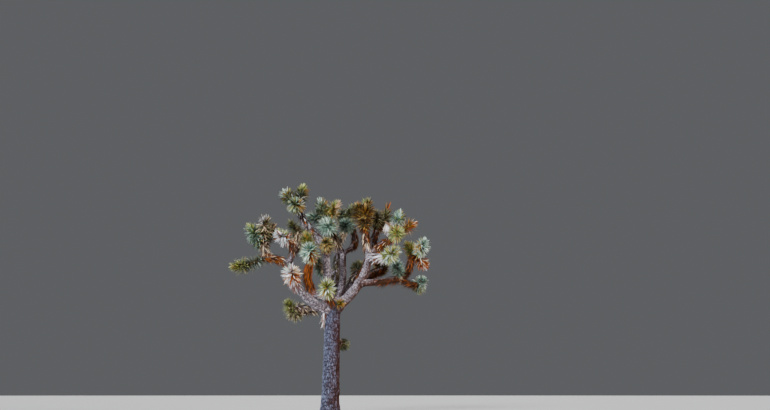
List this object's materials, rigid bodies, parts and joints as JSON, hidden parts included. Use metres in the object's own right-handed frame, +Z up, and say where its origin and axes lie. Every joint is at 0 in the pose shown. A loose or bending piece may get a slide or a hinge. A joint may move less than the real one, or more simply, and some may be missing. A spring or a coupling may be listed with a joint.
{
  "type": "joshua tree",
  "caption": "Whole joshua tree rooted in level ground: one stout straight trunk, forked upswept boughs and spiky heads of dagger leaves in an open crown.",
  "frame": {"origin": "middle of the trunk's flat cut at ground level", "axes": "+Z up along the trunk; +X to the right and +Y away for a person who sees the tree as the picture does"},
  "size_m": [5.4977, 3.6847, 6.2766],
  "materials": {
    "bark": "rough, deeply cracked into small plates",
    "leaves_blue_green": "waxy blue-green dagger leaves with dead ones behind",
    "leaves_yellow_green": "waxy yellow-green dagger leaves with dead ones behind",
    "leaves_olive": "dull olive dagger leaves with dead ones behind",
    "leaves_straw": "dry, matt, straw-coloured dead leaves"
  },
  "bodies": {
    "root": {"trunk": "bark", "bough_right": "bark", "bough_left": "bark", "bough_left_saddle": "bark", "bough_centre": "bark", "bough_middle": "bark", "bough_back": "bark", "bough_front": "bark", "limb_left_inner": "bark", "limb_top_left": "bark", "limb_middle_left": "bark", "limb_middle_right": "bark", "limb_back_left": "bark", "limb_back_far": "bark", "bough_right_low": "bark", "limb_low_outer": "bark", "limb_low_rise": "bark", "limb_right_top": "bark", "limb_right_up": "bark", "limb_right_front": "bark", "limb_right_dark": "bark", "limb_right_back": "bark", "limb_back_right": "bark", "limb_left_low": "bark", "limb_far_left": "bark", "limb_left_top": "bark", "limb_left_up": "bark", "limb_left_back": "bark", "limb_trunk": "bark", "foliage_far_left": "leaves_blue_green", "foliage_left_top": "leaves_yellow_green", "foliage_left_up": "leaves_straw", "foliage_left_back": "leaves_blue_green", "foliage_top_left": "leaves_yellow_green", "foliage_left_inner": "leaves_yellow_green", "foliage_left_side": "leaves_straw", "foliage_left_low": "leaves_olive", "foliage_front": "leaves_yellow_green", "foliage_centre": "leaves_olive", "foliage_middle_left": "leaves_blue_green", "foliage_middle_right": "leaves_blue_green", "foliage_back": "leaves_blue_green", "foliage_back_left": "leaves_olive", "foliage_back_far": "leaves_blue_green", "foliage_right_top": "leaves_olive", "foliage_right_back": "leaves_olive", "foliage_right_up": "leaves_blue_green", "foliage_right_front": "leaves_yellow_green", "foliage_low_rise": "leaves_olive", "foliage_low": "leaves_blue_green", "foliage_low_outer": "leaves_blue_green", "foliage_right_dark": "leaves_olive", "foliage_back_right": "leaves_olive", "foliage_trunk": "leaves_blue_green"}
  },
  "joints": []
}
